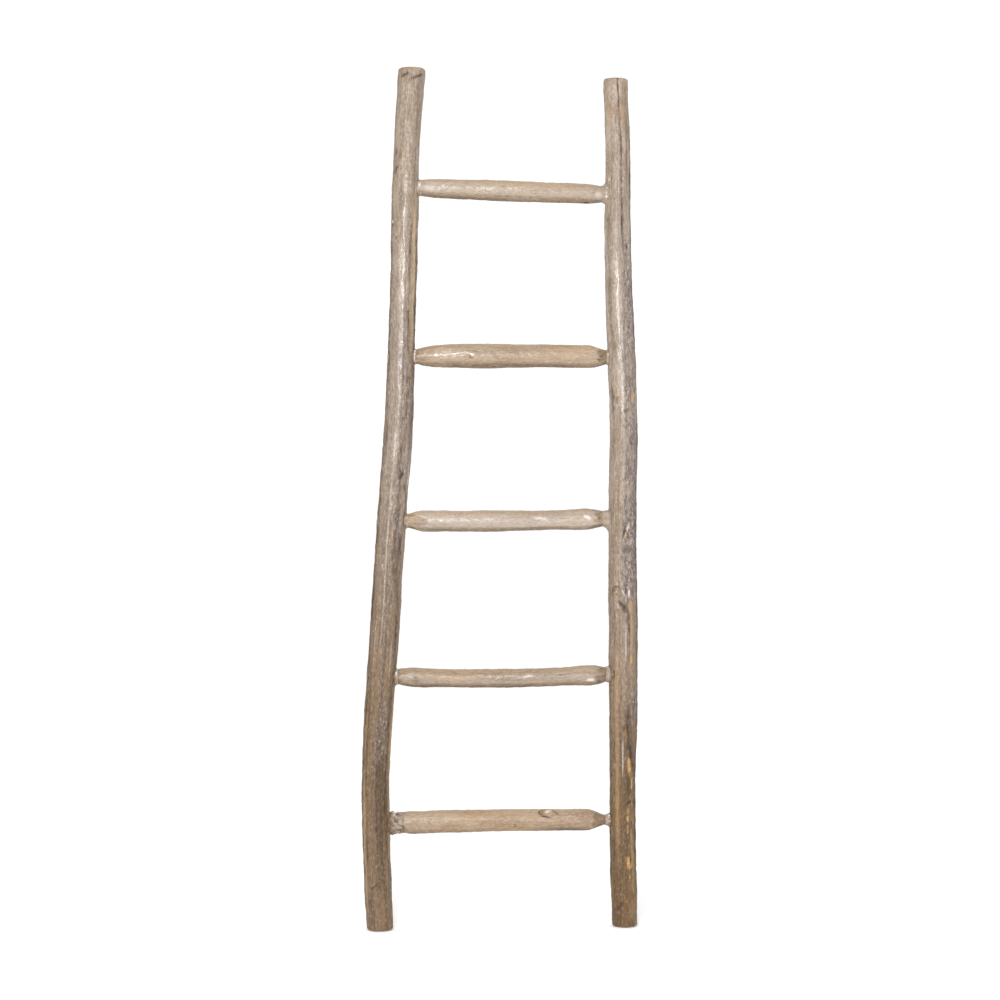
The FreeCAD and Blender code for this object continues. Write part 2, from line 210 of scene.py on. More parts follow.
def leave_knot(bark, turn, place, radius, knot):
    """Grow one healed knot: a mound with dark broken rings round a paler heart."""
    at, towards, long, wide, lean, lift = knot
    off = radius * around_from(turn, math.radians(towards)) / MM
    up = place / MM - at
    tilt = math.radians(lean)
    along = (up * math.cos(tilt) + off * math.sin(tilt)) / long
    aside = (off * math.cos(tilt) - up * math.sin(tilt)) / wide
    far = np.hypot(along, aside)
    bearing = np.arctan2(aside, along)
    for size, share in ((1.0, 1.0), (0.55, 0.7)):
        ring = np.exp(-((far - size - 0.08 * np.sin(3 * bearing + at)) / 0.16) ** 2)
        ring *= share * (0.6 + 0.4 * np.sin(bearing + at))
        bark["dirt_and_shade"] += 1.1 * ring
        bark["relief"] -= 0.8 * MM * ring
    heart = np.exp(-far ** 4)
    bark["warm"] += 0.5 * heart
    bark["pale"] += 0.5 * np.exp(-(far / 0.3) ** 2)
    bark["relief"] += lift * MM * np.exp(-far ** 2 * 0.6)


# Lobes, ripples and pits left by the bark: depth, width and length of one, in mm.
RAIL_RELIEF = ((1.2, 20, 110), (1.0, 7, 42), (0.45, 3.5, 9))

# Knots: height, turn, half length, half width, lean, lift.  Turns are degrees from
# the front, to the viewer's right.  Heights and all lengths are in mm.
RAIL_KNOTS = {
    "left": [(882, 19, 8, 4.5, -10, 0.6), (1240, 132, 13, 10, 0, 2.0),
             (345, -128, 12, 9, 0, 1.8)],
    "right": [(587, -33, 10, 9, 20, 2.4), (890, 150, 14, 10, 0, 2.2),
              (1360, -150, 11, 8, 0, 1.6)],
}

# Grooves: the line of (height, turn) points, half width, depth and the dark paint held, dirt and
# painted shade together.
RAIL_GROOVES = {
    "left": [
        ([(790, 30), (1000, 26), (1130, 27), (1235, 30)], 2.4, 1.7, 0.60),
        ([(700, 60), (860, 62), (1010, 68), (1300, 68)], 3.0, 1.9, 0.55),
        ([(640, -33), (1000, -31), (1290, -35), (1470, -30)], 3.5, 0.9, 0.15),
        # The dark line this groove lays down the left rail's left edge is painted shade.
        ([(90, -74), (300, -64), (600, -72), (900, -61), (1250, -73)], 4.4, 1.2, 0.55),
        ([(500, -22), (640, -23), (790, -20)], 2.4, 0.9, 0.10),
        ([(500, -6), (640, -7), (790, -4)], 2.6, 1.0, 0.30),
        ([(610, 16), (700, 20), (860, 14)], 3.4, 0.9, 0.45),
        ([(130, 45), (330, 50), (520, 51), (690, 46)], 4.4, 1.7, 0.60),
        ([(880, 12), (1010, 13), (1100, 14)], 3.0, 0.8, 0.10),
        ([(40, -48), (210, -46), (430, -50)], 2.6, 0.8, 0.45),
        ([(60, -4), (240, -2), (470, -8)], 3.6, 0.8, 0.20),
        ([(60, 26), (180, 24), (300, 28)], 2.4, 0.7, 0.35),
        ([(880, 80), (1040, 78), (1200, 76)], 4.0, 0.5, 0.70),
        ([(90, 112), (420, 108), (900, 116)], 4.5, 1.5, 0.30),
        ([(520, 150), (980, 144), (1420, 153)], 5.0, 1.8, 0.35),
        ([(50, -158), (330, -150), (700, -160)], 4.0, 1.5, 0.30),
        ([(700, -122), (1100, -116), (1460, -124)], 5.0, 1.2, 0.25),
        ([(900, 176), (1200, 181), (1490, 178)], 1.6, 1.6, 0.90),
        ([(240, -110), (420, -113), (560, -108)], 1.3, 1.2, 0.80),
    ],
    "right": [
        ([(1190, 19), (1240, 12), (1316, 10), (1368, 11), (1420, 6), (1496, 2)], 1.4, 1.2, 0.72),
        ([(1180, 17), (1230, 13), (1300, 10), (1370, 11)], 3.4, 0.8, 0.35),
        ([(1010, -44), (1200, -46), (1350, -42)], 2.6, 0.9, 0.30),
        ([(820, -58), (1000, -55), (1290, -60)], 3.0, 1.1, 0.35),
        ([(650, 2), (800, 4), (980, 9), (1150, 16)], 2.6, 1.1, 0.30),
        ([(420, 16), (500, 17), (556, 16)], 2.2, 1.2, 0.70),
        ([(60, -22), (260, -18), (440, -20)], 3.0, 0.8, 0.30),
        ([(60, -50), (240, -46), (540, -52)], 2.6, 0.8, 0.40),
        ([(234, 27), (278, 42), (309, 29), (345, 13), (358, 12), (392, 18)], 3.2, 1.9, 0.62),
        ([(234, 27), (278, 44), (309, 33), (345, 20), (392, 24)], 8.0, 0.5, 0.42),
        ([(40, 30), (150, 32), (235, 36)], 4.4, 1.0, 0.50),
        # The dark line this groove lays down the right rail's right edge is painted shade.
        ([(120, 60), (330, 74), (640, 65), (900, 78), (1180, 66), (1450, 76)], 4.2, 0.6, 0.78),
        ([(80, -74), (330, -72), (640, -74)], 3.0, 1.0, 0.50),
        ([(80, 118), (500, 124), (820, 116)], 4.5, 1.6, 0.30),
        ([(640, 152), (1000, 160), (1430, 150)], 5.0, 1.7, 0.35),
        ([(150, -150), (520, -146), (930, -154)], 4.5, 1.5, 0.30),
        ([(880, -118), (1150, -124), (1440, -120)], 4.5, 1.2, 0.25),
        ([(300, 178), (520, 183), (690, 179)], 1.5, 1.5, 0.85),
        ([(1090, -168), (1270, -172), (1400, -166)], 1.4, 1.4, 0.85),
    ],
}

# Marks in each layer: height, turn, half length, half width, lean, paint, lift.
RAIL_MARKS = {
    "left": {
        "dirt_and_shade": [(1486, -34, 8, 2, 68, 1, -1.4), (1483, 26, 14, 2.2, 68, 1, -1.8),
            (1353, -57, 6, 2, 0, 0.8, -0.7), (1320, -55, 7, 2.2, 5, 0.9, -0.8),
            (1326, -44, 3, 1.8, 20, 0.6, -0.4), (1226, -57, 4, 1.5, 15, 0.8, -0.6),
            (1202, -38, 3, 1.6, 0, 0.7, -0.5), (985, 52, 26, 4, -4, 0.45, -0.5),
            (795, 30, 10, 1.3, 32, 0.9, -0.9), (786, 22, 9, 1.3, 35, 0.9, -0.9),
            (797, 18, 7, 1.1, -24, 0.6, -0.5), (769, 48, 6, 2.2, 0, 1, -1.6),
            (752, 24, 34, 3.4, 0, 0.4, -0.5), (640, 30, 60, 5, 0, 0.45, -0.4),
            (230, 12, 150, 9, 0, 0.35, -0.3), (452, 4, 60, 3, 0, 0.4, -0.4),
            (230, 10, 60, 8, 0, 0.25, 0), (78, -20, 9, 1.6, 48, 0.7, -0.7),
            (40, -34, 22, 4, 0, 0.35, -0.3)],
        "warm": [(1499, 0, 5, 22, 0, 0.5, 0), (1350, -22, 22, 6, 0, 0.35, 0),
            (1110, 47, 150, 3, 0, 1.2, 0.4), (200, -60, 170, 2.6, 0, 1, 0.6),
            (260, 66, 150, 2.8, 0, 1, 0.6), (690, 6, 16, 2.4, 0, 0.8, 0)],
        # The first foot mark is a brown line down the left edge, a painted shade.
        "foot": [(860, -82, 560, 6, 0, 0.7, 0), (965, 48, 110, 10, 0, 0.45, 0),
            (722, 12, 14, 7, 0, 0.4, -0.2)],
        # The long thin pale streaks near the front, at turns of about -15 to 5 degrees, are painted
        # highlight lines; the short pale specks are crumbs of chalk.
        "pale": [(1417, -14, 34, 1.8, 0, 0.35, 0.2), (1231, -66, 3, 2.6, 0, 0.9, 0.9),
            (1060, 47, 40, 1.6, 0, 0.3, 0.2), (884, 27, 5, 1.6, -8, 0.45, 0.5),
            (875, 21, 3, 1.2, 70, 0.6, 0.4), (798, 37, 5, 2, 20, 0.45, 0.5),
            (780, 12, 6, 2, 30, 0.5, 0.3), (330, 8, 3, 1.2, 30, 0.6, 0.3),
            (348, -6, 3, 1.2, -20, 0.5, 0.3), (318, 24, 4, 1.2, 10, 0.5, 0.3),
            (470, 30, 40, 1.6, 0, 0.45, 0.3), (500, -40, 60, 1.4, 0, 0.4, 0.2),
            (790, 61, 30, 1.8, 0, 0.5, 0.3), (733, -8, 2, 1.6, 0, 0.6, 0.3),
            (728, 5, 2, 1.4, 0, 0.7, 0.3), (737, 9, 2, 1.2, 0, 0.6, 0.3),
            (635, -27, 3, 1.6, 0, 0.5, 0.3), (645, -14, 140, 1.5, 0, 0.4, 0),
            (985, -1, 90, 1, 0, 0.35, 0), (845, -12, 36, 2.2, 0, 0.45, 0.2)],
        "raw": [(1130, 47, 95, 1.8, 0, 0.42, 0.8), (776, 62, 24, 1.8, 0, 0.35, 0.6),
            (690, 6, 11, 1.6, 0, 0.4, 0.3)],
        "rough": [(950, 36, 90, 9, 0, 0.6, 0), (790, 24, 26, 9, 10, 0.55, 0),
            (715, 14, 18, 9, 0, 0.6, 0), (345, 20, 60, 12, 0, 0.45, 0),
            (690, 20, 46, 8, 0, 0.4, 0), (560, 170, 120, 14, 0, 0.7, -0.3),
            (1120, -140, 90, 10, 0, 0.5, 0)],
        "polish": [(650, -14, 150, 3.4, 0, 1, 0.6), (1060, -1, 240, 4, 0, 1.2, 0.5),
            (1270, -6, 60, 3, 0, 0.2, 0.3)],
    },
    "right": {
        "warm": [(1470, 2, 9, 4, 0, 0.5, -0.4), (1424, 21, 15, 4.5, 0, 0.9, 0.2),
            (1424, -30, 20, 5, 0, 0.5, 0), (928, -28, 7, 4, 0, 0.8, 0),
            (563, 26, 16, 3.6, 0, 0.9, 0.4), (512, 29, 34, 3.6, 0, 0.8, 0.3),
            (150, 34, 120, 6, 0, 0.8, 0), (230, -34, 90, 5, 0, 0.7, 0.2),
            (400, -40, 70, 5, 0, 0.6, 0.2)],
        "dirt_and_shade": [(1468, 3, 30, 1.3, -3, 0.8, -1), (1390, 40, 30, 3, 0, 0.3, -0.4),
            (1345, 38, 16, 2, 0, 0.45, -0.5), (1296, -52, 5, 2, 0, 0.4, -0.4),
            (1191, 35, 4, 2.2, 0, 1, -0.9), (936, 24, 30, 2, 0, 0.35, -0.4),
            (924, -33, 6, 4, 0, 0.6, -0.6), (926, -58, 26, 4, 0, 0.4, -0.4),
            (693, 0, 14, 1.5, 17, 0.6, -0.6), (584, -32, 2.5, 2.2, 0, 0.5, -0.9),
            (566, -14, 9, 3.2, -62, 1, -2.4), (556, 0, 6, 4, -30, 0.8, -1.5),
            (596, 5, 13, 2, 0, 0.6, -0.9), (393, 45, 14, 3, 10, 0.6, -0.6),
            (219, 20, 7, 1.8, 66, 1, -1.2), (255, 20, 36, 2.4, 0, 0.6, -0.8),
            (180, 23, 26, 1.8, 0, 0.45, -0.6), (112, 27, 22, 2, 0, 0.4, -0.5),
            (38, -28, 9, 4, 40, 0.8, -0.3)],
        # This brown line down the right edge is a painted shade.
        "foot": [(800, 80, 560, 7, 0, 0.75, 0)],
        "raw": [(1420, 21, 8, 2.5, 0, 0.15, 0), (928, 35, 9, 3, 8, 0.75, -0.5),
            (906, 30, 7, 2.2, 0, 0.35, -0.3), (688, 6, 9, 2, 18, 0.5, 0.5),
            (562, 25, 9, 1.8, 0, 0.3, 0), (468, 26, 10, 2.4, 0, 0.7, -0.3),
            (340, 10, 9, 3, -6, 0.7, -0.6), (283, 22, 17, 4.2, -3, 0.8, -0.8),
            (252, 38, 10, 3, 0, 0.8, -0.6), (205, 21, 5, 2.8, 8, 0.9, -0.6),
            (191, 17, 5, 2.8, -8, 0.9, -0.6), (172, 17, 8, 2.2, 0, 0.75, -0.5),
            (113, 21, 12, 4.6, -8, 1, -0.8), (90, 25, 6, 2, 0, 0.7, -0.4),
            (46, 2, 3, 2.4, 60, 0.5, 0)],
        # The long thin pale streaks near the front, at turns of about -12 to 3 degrees, are painted
        # highlight lines; the short pale specks are crumbs of chalk.
        "pale": [(1309, -52, 3, 1.8, 0, 0.8, 0.4), (1310, 17, 2.4, 1.4, 0, 0.55, 0.3),
            (1193, 42, 2, 1.3, 0, 0.8, 0.3), (1189, -40, 3, 1.6, 0, 0.6, 0.3),
            (1075, -12, 45, 1.6, 0, 0.6, 0), (950, -9, 60, 1.6, 0, 0.4, 0),
            (700, 14, 10, 2.2, 16, 0.55, 0.7), (586, -6, 7, 1.3, -28, 0.8, 0.7),
            (585, 17, 7, 1.5, 0, 1, 0.7), (563, -30, 7, 1.6, -12, 0.5, 0.5),
            (500, 3, 36, 1.3, 0, 0.6, 0.3), (297, -7, 34, 1.2, 0, 0.6, 0.2),
            (395, 39, 2, 2.4, 0, 0.8, 0.3)],
        "polish": [(1085, -12, 80, 3, 0, 1.4, 0.5), (960, -8, 80, 5, 0, 1.2, 0.3)],
        "rough": [(393, 43, 24, 7, 0, 0.9, -0.4), (330, -160, 110, 12, 0, 0.7, -0.3),
            (1150, 120, 130, 14, 0, 0.7, -0.3)],
    },
}

# Tone down each rail: height, browned foot, greyed by weather.
RAIL_TONES = {
    "left": [(0, 0.80, 0.0), (300, 0.86, 0.0), (400, 0.80, 0.2), (500, 0.68, 0.6),
             (620, 0.50, 0.7), (800, 0.19, 0.9), (1000, 0.17, 1.0), (1150, 0.07, 0.35),
             (1300, 0.10, 0.15), (1500, 0.15, 0.4)],
    "right": [(0, 1.15, 0.0), (250, 1.00, 0.0), (430, 0.50, 0.2), (600, 0.30, 0.6),
              (800, 0.12, 0.9), (1000, 0.0, 0.9), (1200, 0.0, 0.7), (1350, 0.0, 0.1),
              (1500, 0.0, 0.0)],
}

# The weathered stripe down the right rail: height, left turn, right turn, strength.
WEATHERED = [(572, 6, 34, 0.9), (610, -6, 70, 1.5), (690, -4, 78, 1.6), (750, 2, 76, 1.3),
             (790, 8, 64, 0.7), (850, 10, 56, 0.8), (900, 10, 46, 1.3), (960, 12, 48, 1.1),
             (1000, 14, 48, 1.2), (1040, 16, 60, 0.9), (1120, 16, 54, 0.9), (1190, 20, 46, 0.7),
             (1215, 26, 38, 0.5)]


def weather_stripe(bark, turn, place, radius):
    """Roughen one long stripe, where a strip of bark stayed on and rotted."""
    heights, left, right, strength = np.array(WEATHERED).T
    heights = heights * MM
    left = np.interp(place, heights, np.radians(left))
    right = np.interp(place, heights, np.radians(right))
    strength = np.interp(place, heights, strength)
    ragged = 0.45 * lumps(turn, place, radius, 8 * MM, 13 * MM, 31)
    inside = fade(turn, left - 0.10 + ragged, left + 0.14 + ragged)
    inside = inside * (1 - fade(turn, right - 0.25 + ragged, right + 0.20 + ragged))
    inside = inside * span(place, heights[0], heights[-1], 12 * MM) * strength
    patchy = np.clip(1 + 1.6 * lumps(turn, place, radius, 6 * MM, 20 * MM, 35), 0.1, 1.3)
    bark["rough"] += inside * patchy
    bark["relief"] += inside * (0.9 * lumps(turn, place, radius, 3 * MM, 6 * MM, 33) - 0.2) * MM


def tone_at(side, place):
    """How browned and how greyed a rail is at a height."""
    heights, foot, ash_and_sheen = np.array(RAIL_TONES[side]).T
    return np.interp(place, heights * MM, foot), np.interp(place, heights * MM, ash_and_sheen)


def carve_rail(side, turn, place, radius):
    """Work out a rail's relief and paint: lobes, grooves, marks and weathering."""
    bark = {layer: np.zeros_like(turn) for layer in LAYERS + ("relief",)}
    bark["foot"], bark["ash_and_sheen"] = tone_at(side, place)
    if side == "right":
        # The inner face is browner than the face that took the weather.
        bark["ash_and_sheen"] = bark["ash_and_sheen"] * (0.35 + 0.65 * fade(turn, -0.45, 0.0))
    seed = 3 if side == "left" else 11
    for number, (deep, around, along) in enumerate(RAIL_RELIEF):
        bark["relief"] += deep * MM * lumps(turn, place, radius, around * MM, along * MM, seed + number)
    for groove in RAIL_GROOVES[side]:
        cut_groove(bark, turn, place, radius, *groove)
    for layer, marks in RAIL_MARKS[side].items():
        for mark in marks:
            leave_mark(bark, turn, place, radius, layer, mark)
    for knot in RAIL_KNOTS[side]:
        leave_knot(bark, turn, place, radius, knot)
    if side == "right":
        weather_stripe(bark, turn, place, radius)
    return bark


# Rows of points 2.7 mm apart, 100 points round, and rims worn round at foot and top.
RAIL_STEP = 2.7 * MM
RAIL_AROUND = 100
FOOT_ROUNDING = 6 * MM
TOP_ROUNDING = 5 * MM


def make_rail(side):
    """Roll a grid round one rail's traced middle and carve it."""
    node = f"{side}_rail"
    low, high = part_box(node)
    mount = next(m for m in frame["record"]["mounts"] if m["name"] == f"{side}_foot")
    past_rim = 9 * MM
    places = np.linspace(low.z + past_rim, high.z - past_rim, 150)
    middles, radii = trace_branch(node, 2, ACROSS, places, mount["pos_m"])
    plan = plan_rows(low.z, high.z, FOOT_ROUNDING, TOP_ROUNDING, radii[0], RAIL_STEP)
    piece, turn, row = flat_bark(f"{side}_rail_branch", len(plan), RAIL_AROUND)
    place, share = plan[row].T
    radius = np.interp(place, places, smooth_row(radii))
    bark = carve_rail(side, turn, place, radius)
    bark["sawn"] = 1 - fade(share, 0.86, 0.97)
    middle = np.column_stack([np.interp(place, places, smooth_row(middles[:, k])) for k in (0, 1)])
    out = share * (radius + bark["relief"] * fade(share, 0.3, 1.0))
    saw = 0.25 * MM * (1 - share) * abs(lumps(turn, place, share * radius, 5 * MM, 5 * MM, 51))
    into_wood = np.where(place > (low.z + high.z) / 2, -1, 1)
    points = np.column_stack((middle[:, 0] + out * np.sin(turn), middle[:, 1] - out * np.cos(turn),
                              place + into_wood * saw))
    grain = np.column_stack((share * radius * np.sin(turn), -share * radius * np.cos(turn), place))
    lay_points(piece, points, grain, bark)
    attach(piece, "root")
    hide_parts(node)
    return piece


def srgb(code):
    """Turn an sRGB hex colour into the linear colour that nodes use."""
    channels = [int(code[k:k + 2], 16) / 255 for k in (1, 3, 5)]
    linear = [c / 12.92 if c <= 0.04045 else ((c + 0.055) / 1.055) ** 2.4 for c in channels]
    return (*linear, 1.0)


def add_node(tree, kind, *values, give=None, **named):
    """Add a shader node and return one of its outputs, the first in use unless another is named.

    The values fill its inputs in order.  A name with a capital is an input too, and a name in
    small letters is one of the node's own settings.
    """
    node = tree.nodes.new(f"ShaderNode{kind}")
    for name, value in named.items():
        if name.islower():
            setattr(node, name, value)
    wired = list(zip([socket for socket in node.inputs if socket.enabled], values))
    wired += [(node.inputs[name], value) for name, value in named.items() if not name.islower()]
    for socket, value in wired:
        if isinstance(value, bpy.types.NodeSocket):
            tree.links.new(value, socket)
        else:
            socket.default_value = value
    return node.outputs[give] if give else next(out for out in node.outputs if out.enabled)


def new_material(name):
    """Start a material with nothing in it but a Principled shader."""
    material = bpy.data.materials.new(name)
    material.use_nodes = True
    tree = material.node_tree
    return material, tree, tree.nodes["Principled BSDF"]


# How far noise tears the edge of a painted layer.
TORN = 1.3


def painted(tree, layer, broken, soft):
    """Read a painted layer, its soft edge broken up by noise so that it looks torn, not sprayed."""
    paint = add_node(tree, "Attribute", attribute_name=layer, give="Fac")
    torn = add_node(tree, "Math", broken, TORN, paint, operation="MULTIPLY_ADD")
    edge = 0.5 + TORN / 2
    return add_node(tree, "MapRange", torn, edge - soft / 2, edge + soft / 2)


def lay_coats(tree, base, coats):
    """Lay coats over a base colour: where each one lies, how much of it there is, its colour."""
    for where, much, colour in coats:
        share = add_node(tree, "Math", where, much, operation="MULTIPLY")
        base = add_node(tree, "Mix", share, base, colour, data_type="RGBA")
    return base


# Patterns in the wood: width and length of a cell in mm, detail, roughness, bend.
WOOD_PATTERNS = (
    (1.8, 11, 4, 0.60, 0.0),  # fine grain lines
    (5, 90, 3, 0.55, 0.6),  # streaks
    (22, 60, 3, 0.50, 0.0),  # clouds
    (3.2, 6, 4, 0.65, 0.0),  # mottle
    (1.1, 1.8, 3, 0.70, 0.0),  # grit
    (8, 320, 2, 0.50, 0.3),  # bands
    (6, 13, 4, 0.60, 1.2),  # blotches
)


def whitewashed_teak(name, pale, tan, brown, grey, wash, lines):
    """Peeled teak, weathered, brushed with thin whitewash and waxed.

    Gives the eye a beige-grey skin with fine brown grain lines, chalky wash in
    the hollows, dark checks, rotten grey patches and a few torn yellow chips, with painted shade and
    painted highlights from the painted layers.
    """
    material, tree, shader = new_material(name)
    grain = add_node(tree, "Attribute", attribute_name="grain", give="Vector")
    patterns = []
    for wide, long, detail, roughness, bend in WOOD_PATTERNS:
        scale = (1 / (wide * MM), 1 / (wide * MM), 1 / (long * MM))
        cells = add_node(tree, "Mapping", grain, Scale=scale)
        patterns.append(add_node(tree, "TexNoise", cells, Scale=1.0, Detail=detail,
                                 Roughness=roughness, Distortion=bend))
    fine, streaks, clouds, mottle, grit, bands, blotches = patterns

    # The bare wood, browner in uneven patches towards the foot, and where the foot layer carries
    # painted shade: under the rungs and in lines down the rails' edges.
    foot = add_node(tree, "Attribute", attribute_name="foot", give="Fac")
    ash_and_sheen = add_node(tree, "Attribute", attribute_name="ash_and_sheen", give="Fac")
    uneven = add_node(tree, "Math", clouds, 1.2, 0.4, operation="MULTIPLY_ADD")
    low = add_node(tree, "Math", foot, uneven, operation="MULTIPLY")
    chalky = add_node(tree, "Mix", low, srgb("#B0A59A"), srgb("#8F7550"), data_type="RGBA")
    brown = add_node(tree, "Mix", low, srgb(brown), srgb("#402D18"), data_type="RGBA")
    drawn = add_node(tree, "Math", foot, 0.6 * lines, 0.5 * lines, operation="MULTIPLY_ADD")
    base = add_node(tree, "Mix", add_node(tree, "MapRange", clouds, 0.38, 0.62),
                    srgb(tan), srgb(pale), data_type="RGBA")
    base = lay_coats(tree, base, (
        (ash_and_sheen, 0.5, srgb(grey)),
        (low, 0.92, srgb("#604522")),
        (add_node(tree, "MapRange", bands, 0.48, 0.60, 0.0, 0.8), drawn, brown),
        (add_node(tree, "MapRange", streaks, 0.50, 0.70), drawn, brown),
        (add_node(tree, "MapRange", fine, 0.48, 0.70), drawn, brown),
        (add_node(tree, "MapRange", mottle, 0.50, 0.70), wash, chalky),
        (add_node(tree, "MapRange", mottle, 0.47, 0.28), drawn, brown),
        (add_node(tree, "MapRange", grit, 0.66, 0.72), drawn, brown),
    ))

    # The sawn ends.  1.3 radians a millimetre from the pith makes rings 4.8 mm wide.
    sawn = add_node(tree, "Attribute", attribute_name="sawn", give="Fac")
    across = add_node(tree, "Mapping", grain, Scale=(1 / MM, 1 / MM, 0.0))
    from_pith = add_node(tree, "VectorMath", across, operation="LENGTH")
    wobble = add_node(tree, "Math", clouds, 5.0, operation="MULTIPLY")
    wobble = add_node(tree, "Math", from_pith, 1.3, wobble, operation="MULTIPLY_ADD")
    rings = add_node(tree, "Math", wobble, operation="SINE")
    cut_end = lay_coats(tree, srgb("#A38A6B"), (
        (add_node(tree, "MapRange", rings, -0.2, 0.9), 1.0, srgb("#7A6148")),
        (add_node(tree, "MapRange", mottle, 0.56, 0.66), 0.6, srgb("#B4A696")),
    ))

    # Rot where bark stayed on, torn chips of sound wood, dirt in the checks together with painted shade
    # in the grooves and along the edges, and pale paint that is lumps of chalk and painted highlights.
    bitten = lay_coats(tree, srgb("#544A48"), (
        (add_node(tree, "MapRange", blotches, 0.38, 0.64), 1.0, srgb("#978D86")),
        (add_node(tree, "MapRange", mottle, 0.46, 0.34), 0.8, srgb("#3E3535")),
        (add_node(tree, "MapRange", mottle, 0.60, 0.68), 0.7, srgb("#C3BBB4")),
    ))
    yellow = add_node(tree, "Mix", add_node(tree, "MapRange", fine, 0.40, 0.60),
                      srgb("#CFA66E"), srgb("#A8753A"), data_type="RGBA")
    rough = painted(tree, "rough", mottle, 0.8)
    dirt_and_shade = painted(tree, "dirt_and_shade", fine, 0.9)
    base = lay_coats(tree, base, (
        (sawn, 0.85, cut_end),
        (painted(tree, "warm", clouds, 0.9), 0.55, srgb("#A5875F")),
        (rough, 0.8, bitten),
        (painted(tree, "raw", grit, 0.5), 0.9, yellow),
        (dirt_and_shade, 0.9, srgb("#352519")),
        (painted(tree, "pale", grit, 0.5), 0.85, srgb("#D6CFC7")),
    ))
    tree.links.new(base, shader.inputs["Base Color"])

    # Wax shines where the wood is sound.  Rot, dirt and painted shade stay dull.
    dull = add_node(tree, "MapRange", mottle, 0.38, 0.62, 0.62, 0.42)
    dull = add_node(tree, "Math", rough, 0.25, dull, operation="MULTIPLY_ADD")
    dull = add_node(tree, "Math", dirt_and_shade, 0.15, dull, operation="MULTIPLY_ADD")
    tree.links.new(dull, shader.inputs["Roughness"])
    polish = painted(tree, "polish", mottle, 0.9)
    wax = add_node(tree, "Math", polish, 0.7, 0.16, operation="MULTIPLY_ADD")
    unsound = add_node(tree, "Math", rough, dirt_and_shade, operation="MAXIMUM")
    sound = add_node(tree, "Math", 1.0, unsound, operation="SUBTRACT")
    wax = add_node(tree, "Math", wax, sound, operation="MULTIPLY")
    tree.links.new(wax, shader.inputs["Coat Weight"])
    shader.inputs["Coat Roughness"].default_value = 0.22
    shader.inputs["Specular IOR Level"].default_value = 0.42
    shader.inputs["IOR"].default_value = 1.48

    # Grain lines are sunk, the mottle stands up, and grit roughens the rot.
    height = add_node(tree, "Math", fine, -0.4, operation="MULTIPLY")
    height = add_node(tree, "Math", mottle, 0.7, height, operation="MULTIPLY_ADD")
    crumbs = add_node(tree, "Math", grit, rough, operation="MULTIPLY")
    height = add_node(tree, "Math", crumbs, 1.2, height, operation="MULTIPLY_ADD")
    for socket, strength in (("Normal", 0.8), ("Coat Normal", 0.55)):
        bump = add_node(tree, "Bump", Strength=strength, Distance=1.0 * MM, Height=height)
        tree.links.new(bump, shader.inputs[socket])
    return material


rail_wood = whitewashed_teak("weathered_whitewashed_teak", "#9D8D7E", "#86735F", "#4C3B30",
                             "#8B837C", 0.50, 0.56)
rails = {}
for side in ("left", "right"):
    rails[side] = make_rail(side)
    rails[side].data.materials.append(rail_wood)


# ---------------------------------------------------------------- the rungs
# Five thinner peeled branches.  Both ends are whittled down with a drawknife to
# a neck that runs into the rail, which leaves flat facets.  Handling and wax
# keep them smoother, warmer and shinier than the rails.

# Knife cuts at each rung's ends.  Each is a plane: the turn it faces, its
# distance from the middle at the rail in mm, and how fast it climbs away.
RUNG_CUTS = {
    (1, "left"): [(85, 13.0, 0.14), (12, 13.4, 0.22), (-62, 13.6, 0.16)],
    (1, "right"): [(78, 14.4, 0.60), (8, 13.8, 0.55), (-70, 15.2, 0.60)],
    (2, "left"): [(78, 11.6, 0.36), (28, 12.2, 0.42), (-22, 12.8, 0.34), (-75, 13.0, 0.20)],
    (2, "right"): [(82, 11.8, 0.28), (30, 12.6, 0.34), (-25, 12.8, 0.32), (-78, 12.4, 0.28)],
    (3, "left"): [(88, 12.0, 0.26), (40, 12.6, 0.30), (-4, 11.0, 0.20), (-50, 12.8, 0.30),
                  (-88, 12.4, 0.24)],
    (3, "right"): [(75, 10.8, 0.22), (30, 10.8, 0.28), (-12, 10.4, 0.32), (-66, 11.4, 0.20)],
    (4, "left"): [(80, 12.0, 0.30), (24, 12.4, 0.34), (-30, 12.2, 0.32), (-82, 12.4, 0.26)],
    (4, "right"): [(80, 10.6, 0.24), (34, 11.0, 0.28), (-16, 10.6, 0.26), (-72, 11.2, 0.22)],
    (5, "left"): [(84, 12.6, 0.22), (20, 13.0, 0.26), (-36, 12.6, 0.24), (-84, 13.2, 0.20)],
    (5, "right"): [(80, 5.6, 0.38), (26, 6.0, 0.40), (-24, 5.8, 0.40), (-76, 6.0, 0.36)],
}

# Turns of the cuts round the back.  They go as deep as the front ones do on average.
BACK_CUTS = (128, 166, -156, -118)

# Rows of points 1.9 mm apart and 84 points round.  Each neck runs on into its rail and
# stops 18 mm short of the tenon's end.
RUNG_STEP = 1.9 * MM
RUNG_AROUND = 84
NECK_STOP = 18 * MM
NECK_ROUNDING = 1 * MM

